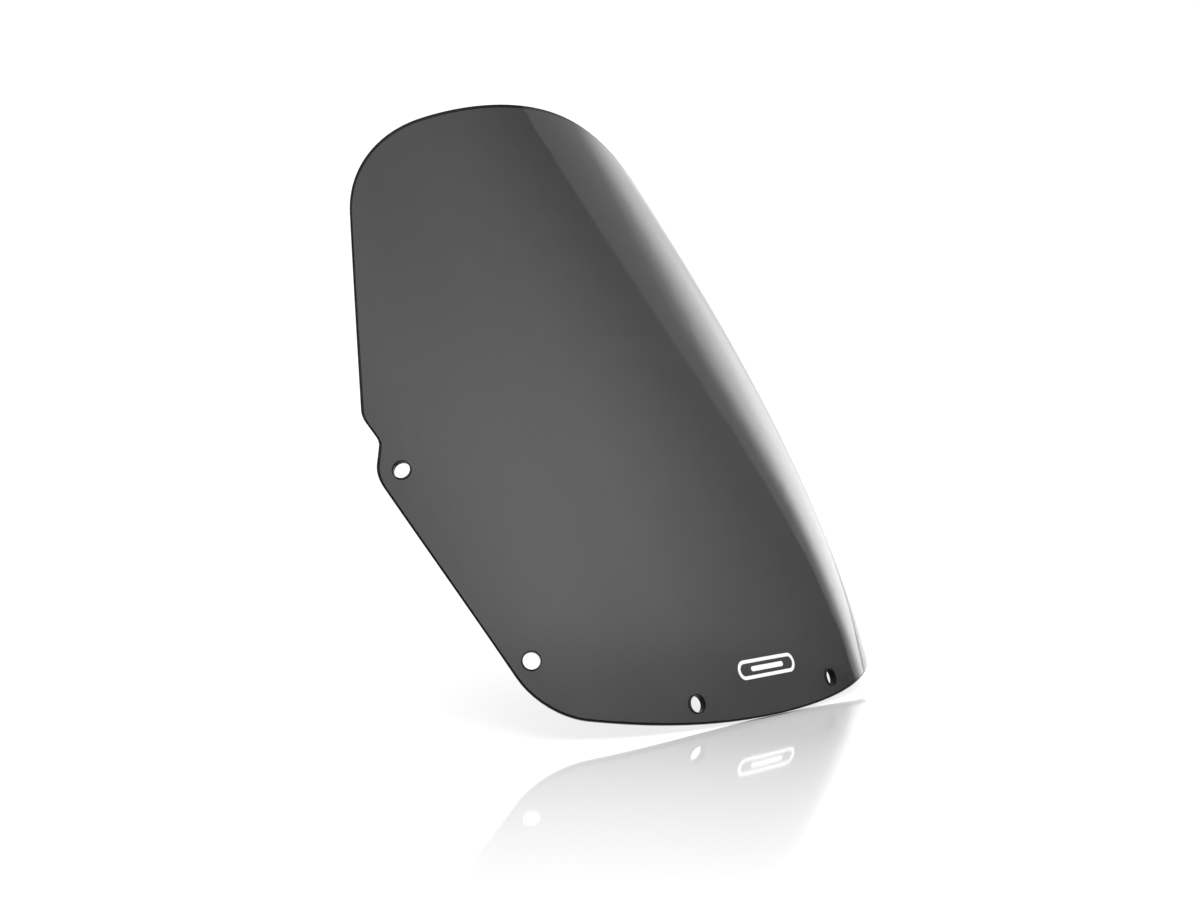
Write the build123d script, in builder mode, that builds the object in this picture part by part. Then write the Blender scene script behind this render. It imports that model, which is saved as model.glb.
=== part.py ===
"""Raised motorcycle windshield screen: one thermoformed acrylic sheet and its printed mark.

Frame: millimetres, +Z up, the convex outer face towards -Y, symmetric about X = 0.
The origin is on the outer face, midway between the two bottom fixing holes, and the
screen stands with the backward lean that it has when it is fitted.
"""
from build123d import *
from math import radians, tan
import os

os.makedirs("parts", exist_ok=True)

# ---- Sheet --------------------------------------------------------------------------
sheet_thickness = 4.0
edge_round = 1.0            # polished round along the outer and inner cut edges
hole_diameter = 8.5
hole_chamfer = 0.5

# ---- Form of the outer face ---------------------------------------------------------
# Three stations carry the form: the foot, the middle and the head of the screen.
form_height = 320.0
# Backward lean of the centre line from vertical, in degrees.
lean_foot, lean_middle, lean_head = 17.0, 30.0, 35.0
# How far a level section has swept back at these distances from the centre line.
gauge_points = (50.0, 100.0, 150.0)
sweep_foot = (2.5, 14.5, 53.0)
sweep_middle = (5.5, 23.5, 67.5)
sweep_head = (10.5, 39.0, 97.0)
# The face is drawn a little larger than the sheet and then trimmed to the outline.
face_half_width = 172.0
face_bottom, face_top = -30.0, 340.0
face_columns, face_rows = 33, 21

# ---- Outline, seen from the front ---------------------------------------------------
# Sharp corners as (distance from the centre line, height); each has its own rounding.
foot_height = -11.7         # bottom edge on the centre line
foot_corner, foot_radius = (131.2, 0.4), 30.0
lobe_corner, lobe_radius = (160.2, 111.5), 26.0     # ear around the upper side hole
step_corner, step_radius = (155.2, 128.2), 10.0
hip_corner, hip_radius = (157.4, 140.4), 17.0
shoulder_corner, shoulder_radius = (118.0, 283.5), 92.0
crown_height = 321.5        # top edge on the centre line
# How far each long side edge bows outwards from straight.
lower_side_bow, upper_side_bow = 2.4, 2.4

# ---- Fixing holes, as (distance from the centre line, height) -----------------------
upper_side_hole = (152.0, 114.4)
lower_side_hole = (130.0, 25.4)
bottom_hole = (55.0, 0.0)
hole_overrun = 3.0          # how far the drill passes both faces

# ---- Printed mark: a ring with a bar inside it --------------------------------------
mark_height = 12.0
mark_length, mark_width = 46.0, 10.0
mark_line = 1.8
bar_length, bar_width = 26.0, 2.6
mark_thickness = 0.15
mark_reach = 10.0           # half the depth of the prism that cuts it from the face


def blend(foot, middle, head, height):
    """Quadratic through the values at the foot, the middle and the head."""
    s = height / form_height
    return foot * (1 - s) * (1 - 2 * s) + middle * 4 * s * (1 - s) + head * s * (2 * s - 1)


def centre_line(height):
    """Setback of the centre line: the blended slope, summed from the foot upwards."""
    foot, middle, head = (tan(radians(lean)) for lean in (lean_foot, lean_middle, lean_head))
    s = height / form_height
    linear = (4 * middle - 3 * foot - head) / 2
    square = (2 * foot - 4 * middle + 2 * head) / 3
    return form_height * (foot * s + linear * s**2 + square * s**3)


def sweep_back(x, height):
    """Even polynomial in x through the centre line and the three gauge points."""
    total = 0.0
    for i, gauge in enumerate(gauge_points):
        term = blend(sweep_foot[i], sweep_middle[i], sweep_head[i], height) * (x / gauge) ** 2
        for other in gauge_points[:i] + gauge_points[i + 1:]:
            term *= (x**2 - other**2) / (gauge**2 - other**2)
        total += term
    return total


def on_face(x, height):
    """Point of the outer face."""
    return Vector(x, centre_line(height) + sweep_back(x, height), height)


def face_plane(x, height, lift=0.0):
    """Plane that touches the outer face, with its normal pointing out of the screen."""
    step = 0.01
    across = on_face(x + step, height) - on_face(x - step, height)
    upward = on_face(x, height + step) - on_face(x, height - step)
    outward = across.cross(upward).normalized()
    return Plane(on_face(x, height) + outward * lift, x_dir=across, z_dir=outward)


def spaced(low, high, count):
    """Evenly spaced values, both ends included."""
    return [low + (high - low) * i / (count - 1) for i in range(count)]


face_grid = [
    [on_face(x, z) for x in spaced(-face_half_width, face_half_width, face_columns)]
    for z in spaced(face_bottom, face_top, face_rows)
]
outer_face = Face.make_surface_from_array_of_points(face_grid, tol=1e-3, min_deg=3, max_deg=5)

# ---- Outline prism ------------------------------------------------------------------
rounded_corners = {
    foot_corner: foot_radius,
    lobe_corner: lobe_radius,
    step_corner: step_radius,
    hip_corner: hip_radius,
    shoulder_corner: shoulder_radius,
}
prism_depth = 400.0
same_point = 0.01           # corners closer than this are the same one


def opposite(corner):
    """The same corner on the other side of the centre line."""
    return (-corner[0], corner[1])


def is_at(vertex, corner):
    """Whether a vertex of the outline is this corner or its mirror image."""
    off = max(abs(abs(vertex.X) - corner[0]), abs(vertex.Y - corner[1]))
    return off < same_point


with BuildPart() as outline_prism:
    with BuildSketch(Plane.XZ) as outline:
        with BuildLine():
            SagittaArc(lobe_corner, foot_corner, lower_side_bow)
            Line(lobe_corner, step_corner)
            Line(step_corner, hip_corner)
            SagittaArc(shoulder_corner, hip_corner, upper_side_bow)
            mirror(about=Plane.YZ)
            ThreePointArc(opposite(shoulder_corner), (0, crown_height), shoulder_corner)
            ThreePointArc(opposite(foot_corner), (0, foot_height), foot_corner)
        make_face()
        for corner, radius in rounded_corners.items():
            both_sides = [v for v in outline.vertices() if is_at(v, corner)]
            fillet(both_sides, radius)
    extrude(amount=prism_depth, both=True)

# ---- Sheet: trimmed face, thickened inwards, so its edges are cut square to it -------
with BuildPart() as screen_sheet:
    thicken(outer_face & outline_prism.part, amount=sheet_thickness)
    broad_faces = screen_sheet.faces().sort_by(SortBy.AREA)[-2:]
    fillet(broad_faces.edges(), edge_round)
    for side in (-1, 1):
        for x, z in (upper_side_hole, lower_side_hole, bottom_hole):
            with Locations(face_plane(side * x, z, lift=hole_overrun)):
                Hole(hole_diameter / 2, depth=sheet_thickness + 2 * hole_overrun)
    bores = screen_sheet.faces().filter_by(GeomType.CYLINDER)
    chamfer(bores.edges().filter_by(GeomType.LINE, reverse=True), hole_chamfer)
screen_sheet.part.label = "screen_sheet"
export_step(screen_sheet.part, "parts/screen_sheet.step")

# ---- Printed mark: raised from the same face, two separate patches of ink ------------
with BuildPart() as mark_prism:
    with BuildSketch(face_plane(0, mark_height)):
        SlotOverall(mark_length, mark_width)
        SlotOverall(mark_length - 2 * mark_line, mark_width - 2 * mark_line, mode=Mode.SUBTRACT)
        SlotOverall(bar_length, bar_width)
    extrude(amount=mark_reach, both=True)

with BuildPart() as printed_mark:
    for patch in (outer_face & mark_prism.part).faces():
        thicken(patch, amount=-mark_thickness)
printed_mark.part.label = "printed_mark"
export_step(printed_mark.part, "parts/printed_mark.step")
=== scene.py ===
"""Looks of the raised windshield screen: smoked acrylic sheet, white print and a pale studio."""
from math import cos, radians, sin

import bpy
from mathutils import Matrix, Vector


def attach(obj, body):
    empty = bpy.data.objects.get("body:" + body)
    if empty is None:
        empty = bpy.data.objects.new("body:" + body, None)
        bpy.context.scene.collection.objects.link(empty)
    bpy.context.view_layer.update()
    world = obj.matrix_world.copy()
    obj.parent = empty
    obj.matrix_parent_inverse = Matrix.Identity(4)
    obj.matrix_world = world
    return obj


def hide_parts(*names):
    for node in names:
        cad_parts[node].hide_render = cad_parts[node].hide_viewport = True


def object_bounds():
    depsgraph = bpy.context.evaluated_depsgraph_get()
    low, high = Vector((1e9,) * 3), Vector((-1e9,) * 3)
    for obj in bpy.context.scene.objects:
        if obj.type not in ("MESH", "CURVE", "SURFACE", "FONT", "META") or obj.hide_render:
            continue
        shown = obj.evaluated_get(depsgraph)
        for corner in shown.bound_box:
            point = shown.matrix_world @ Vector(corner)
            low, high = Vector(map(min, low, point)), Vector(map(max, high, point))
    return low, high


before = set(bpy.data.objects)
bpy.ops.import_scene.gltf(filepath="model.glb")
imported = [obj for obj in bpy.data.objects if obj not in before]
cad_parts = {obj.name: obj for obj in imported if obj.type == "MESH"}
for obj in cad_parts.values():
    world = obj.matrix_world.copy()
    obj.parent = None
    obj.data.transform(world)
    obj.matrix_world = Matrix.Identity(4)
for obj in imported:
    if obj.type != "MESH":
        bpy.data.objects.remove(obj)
cad_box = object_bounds()

# ---- Camera -------------------------------------------------------------------------
VIEW_AZIMUTH = radians(-45.8)
VIEW_ELEVATION = radians(1.37)
VIEW_DISTANCE = 0.808
AIM_FROM_CENTRE = Vector((-0.0597, -0.0307, -0.0312))
LENS_MM = 47.3
SENSOR_MM = 36.0

# ---- Studio: brightness in units of white, directions in degrees ----------------------
BACKDROP = 1.15                     # pale wall behind, just over white
FRONT_GLOW = 1.38                   # peak of the soft glow overhead in front
# Each fade: the direction where it is low and where it is full, then the two brightnesses.
GLOW_TO_PANEL = (78, 25, 0.28, 1.0)
GLOW_TO_OTHER_SIDE = (-100, 0, 0.55, 1.0)
GLOW_TO_HORIZON = (6, 47, 0.1, 1.0)
GLOW_TO_CEILING = (87, 46, 0.3, 1.0)
GLOW_FULL_TO = 10.0                 # past this azimuth the glow sinks
GLOW_SINK = 0.25                    # degrees of elevation that it sinks for each degree of azimuth
LOW_GLOW = 0.36                     # second glow, low on the panel's side
LOW_GLOW_TOP, LOW_GLOW_SIDE = (14, 3), (72, 48)
PANEL_EDGE = 84.5                   # azimuth of the panel's front edge at floor level
PANEL_LEAN = 0.15                   # how far that edge leans forward for each degree of elevation
PANEL_BLUR = 0.8                    # half the width of that edge
PANEL_BASE, PANEL_STRIP = 0.6, 2.3
STRIP_START, STRIP_FADE, STRIP_TOP = (84, 95), (125, 96, 0.3, 1.0), (33, 12)
PANEL_END = (112, 122)              # azimuths where the panel gives way to the backdrop
OTHER_END = (-96, -104)             # azimuths where the glow gives way to it

# ---- Top light, in front of the screen ------------------------------------------------
TOP_LIGHT = {"azimuth": -30, "elevation": 70, "distance": 2.0, "size": 2.5, "power": 45}

# ---- Floor: metres --------------------------------------------------------------------
FLOOR_GAP = 0.0001
FLOOR_SIZE = 60.0
FLOOR_GREY = 0.92
FLOOR_GLOSS = 0.6                   # share of gloss where the screen stands
GLOSS_FADE = (0.05, 0.6)            # distances towards the camera over which it fades out
GLOSS_ROUGHNESS = 0.06
# Share of wall brightness at the screen, and the distance where it is all wall.
COVE_NEAR, COVE_END = 0.08, 2.5

# ---- Sheet and print ------------------------------------------------------------------
ACRYLIC_IOR = 1.49
SMOKE_DENSITY = 640.0
SMOKE_TINT = (0.0, 0.0, 0.018, 1)   # lets a trace more blue through
CUT_GREY = (0.006, 0.006, 0.007, 1)
CUT_IOR = 1.15                      # weak gloss: most light goes into the dark sheet
INK_WHITE = (0.9, 0.9, 0.9, 1)
ACRYLIC_ROUGHNESS, CUT_ROUGHNESS, INK_ROUGHNESS = (0.012, 0.035), (0.14, 0.3), (0.42, 0.6)
HAZE_SCALE, SWELL_SCALE, MARKS_SCALE, INK_SCALE = 60.0, 22.0, 900.0, 2500.0
# Noise values at which roughness starts to change and stops.
HAZE_SPAN, GRAIN_SPAN = (0.3, 0.75), (0.3, 0.7)
BROAD_FACES = 2                     # the outer and the inner face, the sheet's two largest


def new_material(name):
    """Empty node material."""
    material = bpy.data.materials.new(name)
    material.use_nodes = True
    material.node_tree.nodes.clear()
    return material


class Nodes:
    """Short way to add nodes to a tree and link them by socket name."""

    def __init__(self, tree):
        self.tree = tree

    def add(self, kind, inputs=None, **settings):
        node = self.tree.nodes.new(kind)
        for key, value in settings.items():
            setattr(node, key, value)
        for key, value in (inputs or {}).items():
            if isinstance(value, bpy.types.NodeSocket):
                self.tree.links.new(value, node.inputs[key])
            else:
                node.inputs[key].default_value = value
        return node

    def math(self, operation, *values):
        return self.add("ShaderNodeMath", dict(enumerate(values)), operation=operation).outputs[0]

    def noise(self, place, scale, detail):
        settings = {"Vector": place, "Scale": scale, "Detail": detail}
        return self.add("ShaderNodeTexNoise", settings).outputs["Fac"]

    def ramp(self, value, low, high, out_low=0.0, out_high=1.0, smooth=True):
        ends = {"From Min": low, "From Max": high, "To Min": out_low, "To Max": out_high}
        shape = "SMOOTHSTEP" if smooth else "LINEAR"
        node = self.add("ShaderNodeMapRange", {"Value": value, **ends}, interpolation_type=shape)
        return node.outputs["Result"]

    def mixed(self, share, low, high):
        node = self.add("ShaderNodeMix", {0: share, 2: low, 3: high}, data_type="FLOAT")
        return node.outputs[0]


def studio_world():
    """Soft studio all round, brightest in a glow overhead in front and in a panel at the side.

    Brightness follows the direction alone: azimuth from the way the screen faces, and elevation,
    both in degrees.
    """
    world = bpy.data.worlds.new("studio")
    bpy.context.scene.world = world
    world.use_nodes = True
    world.node_tree.nodes.clear()
    n = Nodes(world.node_tree)
    direction = n.add("ShaderNodeTexCoord").outputs["Generated"]
    x, y, z = n.add("ShaderNodeSeparateXYZ", {"Vector": direction}).outputs
    azimuth = n.math("DEGREES", n.math("ARCTAN2", x, n.math("MULTIPLY", y, -1.0)))
    elevation = n.math("DEGREES", n.math("ARCSINE", z))

    # Front half: one wide soft glow that sinks towards the panel, fades down to the horizon and
    # up to the ceiling, and a faint second glow low on the panel's side.
    glow = n.math("MULTIPLY", n.ramp(azimuth, *GLOW_TO_PANEL), n.ramp(azimuth, *GLOW_TO_OTHER_SIDE))
    sunk = n.math("MAXIMUM", n.math("SUBTRACT", azimuth, GLOW_FULL_TO), 0.0)
    height = n.math("MULTIPLY_ADD", sunk, GLOW_SINK, elevation)
    glow = n.math("MULTIPLY", glow, n.ramp(height, *GLOW_TO_HORIZON))
    glow = n.math("MULTIPLY", glow, n.ramp(height, *GLOW_TO_CEILING))
    low_glow = n.ramp(elevation, *LOW_GLOW_TOP, 0.0, LOW_GLOW)
    low_glow = n.math("MULTIPLY", low_glow, n.ramp(azimuth, *LOW_GLOW_SIDE))
    front = n.math("MULTIPLY_ADD", glow, FRONT_GLOW, low_glow)

    # Side panel: a straight leaning edge, then brighter and brighter, with a soft top.
    strip = n.math("MULTIPLY", n.ramp(azimuth, *STRIP_START), n.ramp(azimuth, *STRIP_FADE))
    strip = n.math("MULTIPLY", strip, n.ramp(elevation, *STRIP_TOP))
    panel = n.math("MULTIPLY_ADD", strip, PANEL_STRIP, PANEL_BASE)
    beyond = n.mixed(n.ramp(azimuth, *PANEL_END), panel, BACKDROP)
    other_side = n.ramp(azimuth, *OTHER_END)
    beyond = n.mixed(other_side, beyond, BACKDROP)
    lean = n.math("MULTIPLY_ADD", elevation, PANEL_LEAN, -PANEL_EDGE)
    from_edge = n.math("ADD", azimuth, lean)
    behind = n.math("MAXIMUM", n.ramp(from_edge, -PANEL_BLUR, PANEL_BLUR), other_side)
    around = n.mixed(behind, front, beyond)

    seen = n.add("ShaderNodeLightPath").outputs["Is Camera Ray"]
    strength = n.mixed(seen, around, BACKDROP)
    shine = n.add("ShaderNodeBackground", {"Color": (1, 1, 1, 1), "Strength": strength})
    out = n.add("ShaderNodeOutputWorld")
    world.node_tree.links.new(shine.outputs[0], out.inputs["Surface"])


def camera():
    data = bpy.data.cameras.new("camera")
    data.lens = LENS_MM
    data.sensor_width = SENSOR_MM
    eye = bpy.data.objects.new("camera", data)
    bpy.context.scene.collection.objects.link(eye)
    back = Vector((
        sin(VIEW_AZIMUTH) * cos(VIEW_ELEVATION),
        -cos(VIEW_AZIMUTH) * cos(VIEW_ELEVATION),
        sin(VIEW_ELEVATION),
    ))
    aim = (cad_box[0] + cad_box[1]) / 2 + AIM_FROM_CENTRE
    eye.location = aim + back * VIEW_DISTANCE
    eye.rotation_euler = (-back).to_track_quat("-Z", "Y").to_euler()
    bpy.context.scene.camera = eye


def floor():
    mesh = bpy.data.meshes.new("floor")
    half = FLOOR_SIZE / 2
    height = cad_box[0].z - FLOOR_GAP
    around = [(-half, -half), (half, -half), (half, half), (-half, half)]
    corners = [(x, y, height) for x, y in around]
    mesh.from_pydata(corners, [], [(0, 1, 2, 3)])
    plane = bpy.data.objects.new("floor", mesh)
    bpy.context.scene.collection.objects.link(plane)
    material = new_material("pale_floor")
    n = Nodes(material.node_tree)
    place = n.add("ShaderNodeTexCoord").outputs["Object"]
    toward = Vector((sin(VIEW_AZIMUTH), -cos(VIEW_AZIMUTH), 0))
    along = n.add("ShaderNodeVectorMath", {0: place, 1: toward}, operation="DOT_PRODUCT")
    share = n.ramp(along.outputs["Value"], *GLOSS_FADE, FLOOR_GLOSS, 0.0, smooth=False)
    matt = n.add("ShaderNodeBsdfDiffuse", {"Color": (FLOOR_GREY, FLOOR_GREY, FLOOR_GREY, 1)})
    gloss = n.add("ShaderNodeBsdfGlossy", {"Color": (1, 1, 1, 1), "Roughness": GLOSS_ROUGHNESS})
    mix = n.add("ShaderNodeMixShader", {0: share, 1: matt.outputs[0], 2: gloss.outputs[0]})
    # The floor turns into the wall with distance, so that no horizon shows.
    distance = n.add("ShaderNodeVectorMath", {0: place}, operation="LENGTH").outputs["Value"]
    blend = n.ramp(distance, 0.0, COVE_END, COVE_NEAR, 1.0)
    wall = n.add("ShaderNodeEmission", {"Color": (1, 1, 1, 1), "Strength": BACKDROP})
    cove = n.add("ShaderNodeMixShader", {0: blend, 1: mix.outputs[0], 2: wall.outputs[0]})
    out = n.add("ShaderNodeOutputMaterial")
    material.node_tree.links.new(cove.outputs[0], out.inputs["Surface"])
    mesh.materials.append(material)


def area_light(name, azimuth, elevation, distance, size, power):
    data = bpy.data.lights.new(name, "AREA")
    data.shape = "SQUARE"
    data.size = size
    data.energy = power
    lamp = bpy.data.objects.new(name, data)
    bpy.context.scene.collection.objects.link(lamp)
    a, e = radians(azimuth), radians(elevation)
    way = Vector((sin(a) * cos(e), -cos(a) * cos(e), sin(e)))
    lamp.location = (cad_box[0] + cad_box[1]) / 2 + way * distance
    lamp.rotation_euler = (-way).to_track_quat("-Z", "Y").to_euler()
    lamp.visible_camera = False
    lamp.visible_glossy = False
    lamp.visible_transmission = False


def acrylic():
    """Smoked acrylic: clear and glossy at the surface, dark grey through its depth."""
    material = new_material("smoked_acrylic")
    n = Nodes(material.node_tree)
    place = n.add("ShaderNodeTexCoord").outputs["Object"]
    rough = n.ramp(n.noise(place, HAZE_SCALE, 4.0), *HAZE_SPAN, *ACRYLIC_ROUGHNESS)
    swell = n.noise(place, SWELL_SCALE, 1.0)
    bump = n.add("ShaderNodeBump", {"Height": swell, "Strength": 0.02, "Distance": 0.0002})
    shell = n.add("ShaderNodeBsdfPrincipled", {
        "Base Color": (1, 1, 1, 1),
        "Roughness": rough,
        "IOR": ACRYLIC_IOR,
        "Transmission Weight": 1.0,
        "Normal": bump.outputs["Normal"],
    })
    depth = n.add("ShaderNodeVolumeAbsorption", {"Color": SMOKE_TINT, "Density": SMOKE_DENSITY})
    out = n.add("ShaderNodeOutputMaterial")
    material.node_tree.links.new(shell.outputs[0], out.inputs["Surface"])
    material.node_tree.links.new(depth.outputs[0], out.inputs["Volume"])
    return material


def ink():
    material = new_material("white_print")
    n = Nodes(material.node_tree)
    place = n.add("ShaderNodeTexCoord").outputs["Object"]
    grain = n.noise(place, INK_SCALE, 2.0)
    rough = n.ramp(grain, *GRAIN_SPAN, *INK_ROUGHNESS)
    bump = n.add("ShaderNodeBump", {"Height": grain, "Strength": 0.15, "Distance": 0.00005})
    coat = n.add("ShaderNodeBsdfPrincipled", {
        "Base Color": INK_WHITE,
        "Roughness": rough,
        "Normal": bump.outputs["Normal"],
    })
    out = n.add("ShaderNodeOutputMaterial")
    material.node_tree.links.new(coat.outputs[0], out.inputs["Surface"])
    return material


def cut_edge():
    """The sheet's thickness seen through its own cut: dark, with fine marks of polishing."""
    material = new_material("polished_cut")
    n = Nodes(material.node_tree)
    place = n.add("ShaderNodeTexCoord").outputs["Object"]
    marks = n.noise(place, MARKS_SCALE, 3.0)
    rough = n.ramp(marks, *GRAIN_SPAN, *CUT_ROUGHNESS)
    bump = n.add("ShaderNodeBump", {"Height": marks, "Strength": 0.2, "Distance": 0.00003})
    shell = n.add("ShaderNodeBsdfPrincipled", {
        "Base Color": CUT_GREY,
        "Roughness": rough,
        "IOR": CUT_IOR,
        "Normal": bump.outputs["Normal"],
    })
    out = n.add("ShaderNodeOutputMaterial")
    material.node_tree.links.new(shell.outputs[0], out.inputs["Surface"])
    return material


def smooth_patches(mesh):
    """The polygons of a CAD mesh, grouped by the CAD face that each is on."""
    owner = list(range(len(mesh.vertices)))

    def top(vertex):
        while owner[vertex] != vertex:
            owner[vertex] = owner[owner[vertex]]
            vertex = owner[vertex]
        return vertex

    for polygon in mesh.polygons:
        for vertex in polygon.vertices:
            owner[top(vertex)] = top(polygon.vertices[0])
    patches = {}
    for polygon in mesh.polygons:
        patches.setdefault(top(polygon.vertices[0]), []).append(polygon)
    return list(patches.values())


def sheet():
    """The sheet in two finishes: clear broad faces, and dark cut edges and hole walls."""
    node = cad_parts["screen_sheet"]
    mesh = node.data.copy()
    mesh.materials.clear()
    mesh.materials.append(acrylic())
    mesh.materials.append(cut_edge())
    by_area = sorted(smooth_patches(mesh), key=lambda patch: sum(p.area for p in patch))
    clear, dark = by_area[-BROAD_FACES:], by_area[:-BROAD_FACES]
    for material_index, patches in enumerate((clear, dark)):
        for patch in patches:
            for polygon in patch:
                polygon.material_index = material_index
    piece = bpy.data.objects.new("acrylic_sheet", mesh)
    piece.matrix_world = node.matrix_world
    bpy.context.scene.collection.objects.link(piece)
    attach(piece, "root")
    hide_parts("screen_sheet")


def dress(node, material):
    """Gives a CAD node its finished material."""
    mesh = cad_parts[node].data
    for i in range(len(mesh.materials)):
        mesh.materials[i] = material


bpy.context.scene.view_settings.view_transform = "Standard"
camera()
studio_world()
floor()
area_light("top_fill", **TOP_LIGHT)
sheet()
dress("printed_mark", ink())
